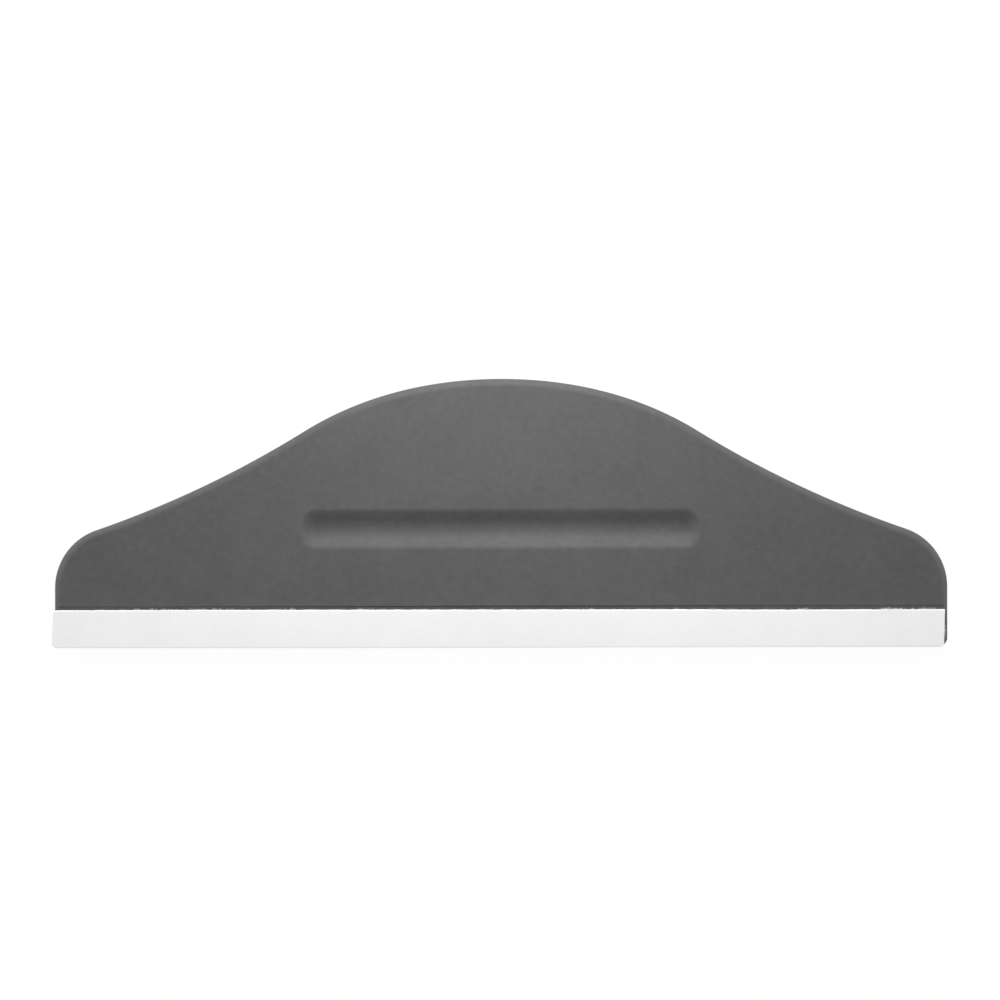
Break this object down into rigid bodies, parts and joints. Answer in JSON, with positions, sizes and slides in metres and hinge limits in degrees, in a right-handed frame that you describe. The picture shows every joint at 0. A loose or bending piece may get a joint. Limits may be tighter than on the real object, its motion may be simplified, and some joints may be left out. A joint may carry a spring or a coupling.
{
  "type": "smoothing squeegee",
  "caption": "Flat hand squeegee: a moulded plastic plate with a bell-shaped top and a finger groove, and a white felt strip glued along its straight working edge.",
  "frame": {"origin": "middle of the plate's flat back: on its centre line, half-way between the working edge and the crest", "axes": "+X along the working edge, to the right seen from the front; +Y from the working edge up to the crest; +Z out of the front face, the one with the finger groove"},
  "size_m": [0.2809, 0.0843, 0.0049],
  "materials": {
    "moulded_plastic": "dark grey polypropylene, fine matt mould texture",
    "white_felt": "dense white felt with fibres standing out at its cut edges",
    "adhesive": "pale acrylic adhesive film"
  },
  "bodies": {
    "root": {"squeegee_plate": "moulded_plastic", "felt_strip": "white_felt", "adhesive_strip": "adhesive"}
  },
  "joints": []
}
